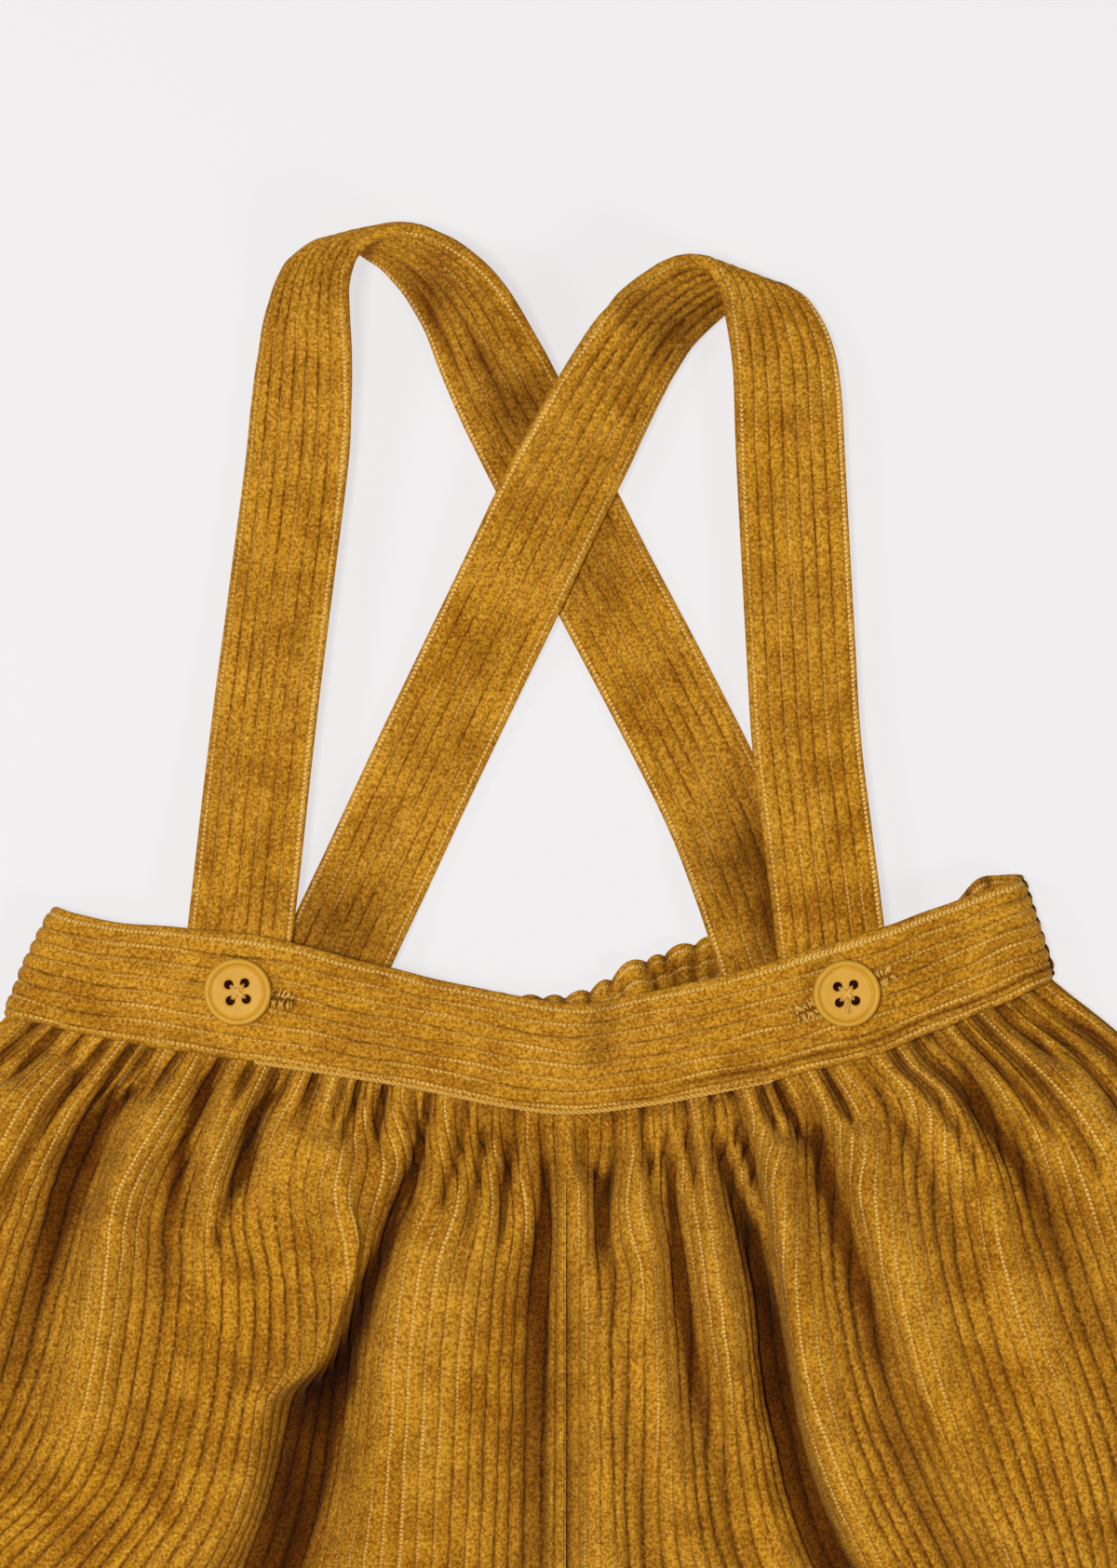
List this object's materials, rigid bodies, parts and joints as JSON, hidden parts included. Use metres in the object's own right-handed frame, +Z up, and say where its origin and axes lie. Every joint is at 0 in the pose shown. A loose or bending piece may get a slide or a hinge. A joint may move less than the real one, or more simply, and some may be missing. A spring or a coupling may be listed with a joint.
{
  "type": "baby romper",
  "caption": "Corduroy baby romper laid flat: gathered body with short legs, plain front waistband, elastic back waistband and crossed shoulder straps fastened by buttons.",
  "frame": {"origin": "On the surface the romper lies on, under the middle of its outline.", "axes": "+Y runs from the legs to the tops of the straps, +X to the right as the front is seen, +Z up from the surface to the front of the garment."},
  "size_m": [0.349, 0.4144, 0.0233],
  "materials": {
    "corduroy": "wide-wale cotton corduroy, mustard, plush nap",
    "button": "satin moulded polyester, light mustard"
  },
  "bodies": {
    "root": {"front_left": "corduroy", "front_right": "corduroy", "back_left": "corduroy", "back_right": "corduroy", "waistband_front": "corduroy", "waistband_back": "corduroy", "strap_left": "corduroy", "strap_right": "corduroy", "button_left": "button", "button_right": "button"}
  },
  "joints": []
}
